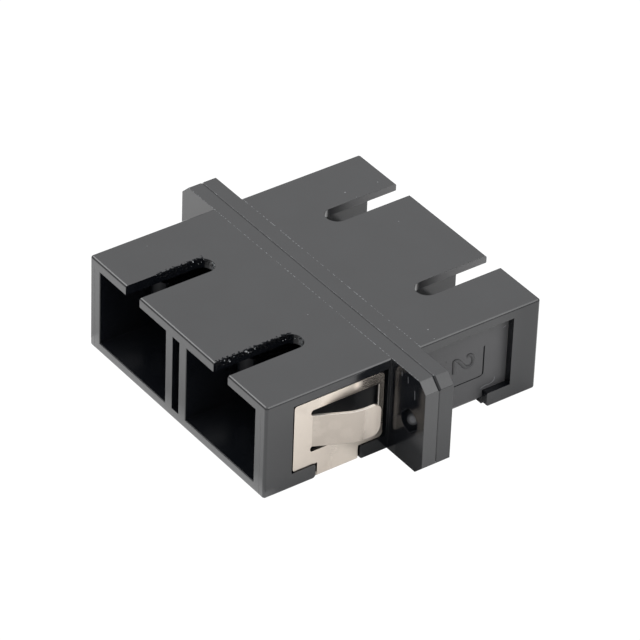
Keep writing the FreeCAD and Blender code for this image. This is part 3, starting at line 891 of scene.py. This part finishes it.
bronze = rolled_bronze()
print("bronze:", bronze.name)

# %% [markdown]
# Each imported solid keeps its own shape, which is that of the real piece. New meshes could be laid over the
# solids, but nothing would be gained, so only their materials change.

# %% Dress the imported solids
FINISHES = {"panel_clip": steel, "front_housing": housing_black, "rear_housing": housing_black}


def finish_of(name):
    """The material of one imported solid."""
    if name.startswith("alignment"):
        return bronze
    return FINISHES.get(name, insert_black)


for name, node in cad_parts.items():
    finish = finish_of(name)
    node.data.materials.clear()
    node.data.materials.append(finish)
    print(name, "wears", finish.name)

# %% [markdown]
# Small marks are pieces of their own. A bead is a round line along a few points. It could be cut out of the
# housing or raised from it, but the imported solids stay as they are. So it is drawn as a curve with a
# thickness, made a mesh, and then pressed flat against the face that carries it, so that it is only as proud
# as a moulded numeral, a line of painted shade or a hair is.

# %% Bead helper
BEAD_CORNERS = 2
BEAD_STEPS = 8


def clear_selection():
    """Nothing selected, so that an operator acts on new things only."""
    for item in bpy.context.selected_objects:
        item.select_set(False)


def round_line(name, points, radius, handles):
    """A round curve through points, all in millimetres."""
    clear_selection()
    bpy.ops.curve.primitive_bezier_curve_add(location=(0.0, 0.0, 0.0))
    line = bpy.context.object
    line.name = name
    line.data.bevel_depth = radius * MM
    line.data.bevel_resolution = BEAD_CORNERS
    line.data.resolution_u = BEAD_STEPS
    line.data.use_fill_caps = True
    knots = line.data.splines[0].bezier_points
    knots.add(len(points) - len(knots))
    for knot, point in zip(knots, points):
        knot.co = Vector(point) * MM
        knot.handle_left_type = handles
        knot.handle_right_type = handles


def bead(name, points, radius, press, handles, material):
    """A round line made a mesh and pressed flat."""
    round_line(name, points, radius, handles)
    bpy.ops.object.convert(target="MESH")
    bpy.ops.object.mode_set(mode="EDIT")
    bpy.ops.mesh.select_all(action="SELECT")
    bpy.ops.transform.resize(value=press, center_override=Vector(points[0]) * MM)
    bpy.ops.mesh.normals_make_consistent(inside=False)
    bpy.ops.object.mode_set(mode="OBJECT")
    bpy.ops.object.shade_smooth()
    line = bpy.context.object
    line.data.materials.clear()
    line.data.materials.append(material)
    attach(line, "root")
    return line


print("a bead has", BEAD_STEPS, "steps from point to point")

# %% [markdown]
# The floor of the rear clip pocket shows where the mould has an exchangeable insert: its right and lower
# edges lie in shade at its step, drawn as dark lines of painted shade, and it carries a cavity number and a
# small dot. A cavity number is plain and says only which hollow of the mould the housing came from. It
# stands a few hundredths of a millimetre proud, and is turned a quarter turn. A font would be too even, so
# the number is drawn as two beads.

# %% Cavity number and painted shade at the insert's edge
INSERT_SHADE_SIDE = [(8.69, 5.92), (8.69, 3.35), (8.66, 3.06)]
INSERT_SHADE_LOW = [(8.69, 3.20), (8.60, 3.00), (8.40, 2.94), (7.90, 2.92), (5.72, 2.92)]
NUMBER_FOOT = [(5.60, 4.28), (5.60, 5.66)]
NUMBER_NECK = [(5.60, 5.60), (5.98, 5.46), (6.42, 4.98), (6.80, 4.54), (7.18, 4.42), (7.50, 4.62),
               (7.58, 5.00), (7.44, 5.40), (7.14, 5.62), (6.92, 5.50)]
DOT = [(4.74, 5.82), (4.75, 5.82)]
SUNK = (0.10, 1.0, 1.0)
FLAT = (0.30, 1.0, 1.0)
PROUD = (0.36, 1.0, 1.0)
GRAIN_NOISE = (8.0, 2.0)
GRAIN_RANGE = (0.3, 0.7)
GRAIN_ROUGHER = 0.15
GRAIN_LIGHTER = 2.0


def dull_black(name, colour, roughness, sheen):
    """Dull black for the lines of painted shade, the dot and the numerals, with a little grain."""
    material, shader = new_material(name)
    grain = noise(material, millimetres(material), *GRAIN_NOISE)
    lighter = tuple(GRAIN_LIGHTER * part for part in colour[:3]) + (1.0,)
    gloss = spread(material, grain, *GRAIN_RANGE, roughness, roughness + GRAIN_ROUGHER)
    join(material, blend(material, grain, colour, lighter), shader.inputs["Base Color"])
    join(material, gloss, shader.inputs["Roughness"])
    shader.inputs["Specular IOR Level"].default_value = sheen
    return material


# Painted shade: dark lines along the insert's right and lower edges, where its step is shaded.
shade_and_dot_black = dull_black("shade_and_dot_black", (0.0014, 0.0015, 0.0018, 1.0), roughness=0.6, sheen=0.06)
number_black = dull_black("number_black", (0.0060, 0.0062, 0.0070, 1.0), roughness=0.30, sheen=0.44)
# Name, points along and up the pocket floor, radius, press, handles and material.
POCKET_MARKS = [
    ("insert_painted_shade_side", INSERT_SHADE_SIDE, 0.075, SUNK, "VECTOR", shade_and_dot_black),
    ("insert_painted_shade_low", INSERT_SHADE_LOW, 0.05, SUNK, "VECTOR", shade_and_dot_black),
    ("cavity_number_foot", NUMBER_FOOT, 0.17, PROUD, "VECTOR", number_black),
    ("cavity_number_neck", NUMBER_NECK, 0.17, PROUD, "AUTO", number_black),
    ("cavity_dot", DOT, 0.10, FLAT, "VECTOR", shade_and_dot_black),
]
for name, points, radius, press, handles, material in POCKET_MARKS:
    on_floor = [(POCKET_FLOOR, along, height) for along, height in points]
    mark = bead(name, on_floor, radius, press, handles, material)
    print(name, "stands", round(mark.dimensions.x / MM / 2, 3), "mm proud")

# %% [markdown]
# A few scuffs and hair-fine scratches came from handling. They are paler than the gloss around them, because
# their broken surface scatters light. Scratches could be masks too, but these few cross open faces at odd
# angles, which a line through points follows more easily.

# %% Scuffs and scratches
SCUFF_DARK = (0.06, 0.062, 0.066, 1.0)
SCUFF_LIGHT = (0.20, 0.204, 0.212, 1.0)
BROKEN_NOISE = (7.0, 3.0)
BROKEN_RANGE = (0.3, 0.7)
BROKEN_ROUGHNESS = (0.45, 0.75)
SCUFF_RADIUS = 0.035
SCUFF_PRESS = (0.2, 1.0, 1.0)
HAIR_RADIUS = 0.022
HAIR_PRESS = (1.0, 0.3, 1.0)
# Points, radius, press and handles of each.
SCRATCHES = {
    "pocket_scuff_low": ([(POCKET_FLOOR, 8.53, 1.60), (POCKET_FLOOR, 9.04, 1.74), (POCKET_FLOOR, 9.46, 1.73),
                          (POCKET_FLOOR, 9.91, 1.95), (POCKET_FLOOR, 9.96, 2.25)],
                         SCUFF_RADIUS, SCUFF_PRESS, "AUTO"),
    "pocket_scuff_high": ([(POCKET_FLOOR, 10.55, 7.05), (POCKET_FLOOR, 10.85, 7.14)],
                          SCUFF_RADIUS, SCUFF_PRESS, "VECTOR"),
    "flange_hair_left": ([(14.11, FLANGE_FRONT, 8.66), (14.13, FLANGE_FRONT, 8.26)],
                         HAIR_RADIUS, HAIR_PRESS, "VECTOR"),
    "flange_hair_middle": ([(14.92, FLANGE_FRONT, 8.66), (14.98, FLANGE_FRONT, 8.06)],
                           HAIR_RADIUS, HAIR_PRESS, "VECTOR"),
    "flange_hair_right": ([(15.88, FLANGE_FRONT, 7.86), (15.95, FLANGE_FRONT, 6.98)],
                          HAIR_RADIUS, HAIR_PRESS, "VECTOR"),
}


def scuffed_plastic():
    """Plastic whitened by rubbing."""
    material, shader = new_material("scuffed_plastic")
    broken = noise(material, millimetres(material), *BROKEN_NOISE)
    join(material, blend(material, broken, SCUFF_DARK, SCUFF_LIGHT), shader.inputs["Base Color"])
    join(material, spread(material, broken, *BROKEN_RANGE, *BROKEN_ROUGHNESS), shader.inputs["Roughness"])
    return material


scuffed = scuffed_plastic()
for name, (points, radius, press, handles) in SCRATCHES.items():
    bead(name, points, radius, press, handles, scuffed)
print("scratches:", len(SCRATCHES))

# %% [markdown]
# The rough cut also left torn crumbs of plastic along the upper edge of both front keyways. Freshly torn
# plastic is black and dull, with small glints where a broken face catches the light. Glints could be faces
# of their own, but a noise with a steep range puts them at random for nothing.

# %% Torn plastic
TORN_BLACK = (0.002, 0.0022, 0.0028, 1.0)
TORN_GLINT = (0.30, 0.31, 0.32, 1.0)
GLINT_NOISE = (3.4, 2.0)
GLINT_RANGE = (0.62, 0.65)
GLINT_ROUGHNESS = (0.45, 0.6)
GLINT_SHEEN = (0.09, 0.5)


def torn_plastic():
    """Freshly torn plastic: black, with small glints."""
    material, shader = new_material("torn_plastic")
    glint = rise(material, noise(material, millimetres(material), *GLINT_NOISE), *GLINT_RANGE)
    join(material, blend(material, glint, TORN_BLACK, TORN_GLINT), shader.inputs["Base Color"])
    join(material, spread(material, glint, 0.0, 1.0, *GLINT_ROUGHNESS), shader.inputs["Roughness"])
    join(material, spread(material, glint, 0.0, 1.0, *GLINT_SHEEN), shader.inputs["Specular IOR Level"])
    return material


torn = torn_plastic()
print("crumbs wear", torn.name)

# %% [markdown]
# The crumbs stand out against the light, so they are shapes and not bumps in the material. Each is a small
# faceted lump, pulled out of round and turned at random, half sunk in the wall. The lumps of one keyway are
# joined, so that the edge is one piece. The seed is fixed, so the same crumbs come out each time.

# %% Torn edges of the front keyways
CRUMB_SIZES = (0.035, 0.085)
CRUMB_PULLS = ((0.6, 1.2), (0.8, 1.6), (0.5, 0.95))
# In radii of the crumb: how far it strays from the wall, and how deep it lies under the top.
CRUMB_SWAY = 0.3
CRUMB_COVER = 1.05
# Crumbs reach this far down, and a higher power crowds them nearer to the top.
CRUMB_DEPTH = 0.5
CRUMB_CROWDING = 1.7
CRUMBS_EACH_MM = 19
ARC_LENGTH = 2.7
FIRST_SEED = 7


def edge_place(wall, along):
    """A place on the keyway's edge, which is straight along the wall and then goes round the end."""
    turn = max(0.0, along - ROUND_END) / KEY_ROUND
    across = wall + KEY_ROUND * (1.0 - math.cos(turn))
    return across, min(along, ROUND_END) + KEY_ROUND * math.sin(turn)


def add_crumb(dice, wall, front, length):
    """One lump near the keyway's edge, with its size, place, shape and turn drawn by the dice."""
    clear_selection()
    size = dice.uniform(*CRUMB_SIZES)
    across, along = edge_place(wall, front + length * dice.random())
    depth = dice.random() ** CRUMB_CROWDING * CRUMB_DEPTH
    across += dice.uniform(-CRUMB_SWAY, CRUMB_SWAY) * size
    centre = Vector((across, along, BODY_TOP - CRUMB_COVER * size - depth)) * MM
    bpy.ops.mesh.primitive_ico_sphere_add(subdivisions=1, radius=size * MM, location=centre)
    pull = [dice.uniform(*span) for span in CRUMB_PULLS]
    turn = dice.uniform(0.0, math.pi)
    bpy.ops.object.mode_set(mode="EDIT")
    bpy.ops.transform.rotate(value=turn, orient_axis="X", center_override=centre)
    bpy.ops.transform.resize(value=pull, center_override=centre)
    bpy.ops.object.mode_set(mode="OBJECT")
    return bpy.context.object


def torn_edge(name, wall, front, seed):
    """Crumbs along the upper part of one keyway wall and round its end, joined to one piece."""
    dice = random.Random(seed)
    length = ROUND_END - front + ARC_LENGTH
    lumps = [add_crumb(dice, wall, front, length) for _ in range(int(length * CRUMBS_EACH_MM))]
    clear_selection()
    for lump in lumps:
        lump.select_set(True)
    bpy.context.view_layer.objects.active = lumps[0]
    bpy.ops.object.join()
    bpy.ops.object.transform_apply(location=True, rotation=True, scale=True)
    edge = bpy.context.object
    edge.name = name
    edge.data.materials.clear()
    edge.data.materials.append(torn)
    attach(edge, "root")
    return edge


for number, (wall, front) in enumerate(zip(KEY_WALLS, ROUGH_FROM)):
    edge = torn_edge("torn_edge_%d" % (number + 1), wall, front, FIRST_SEED + number)
    print(edge.name, len(edge.data.polygons), "faces")
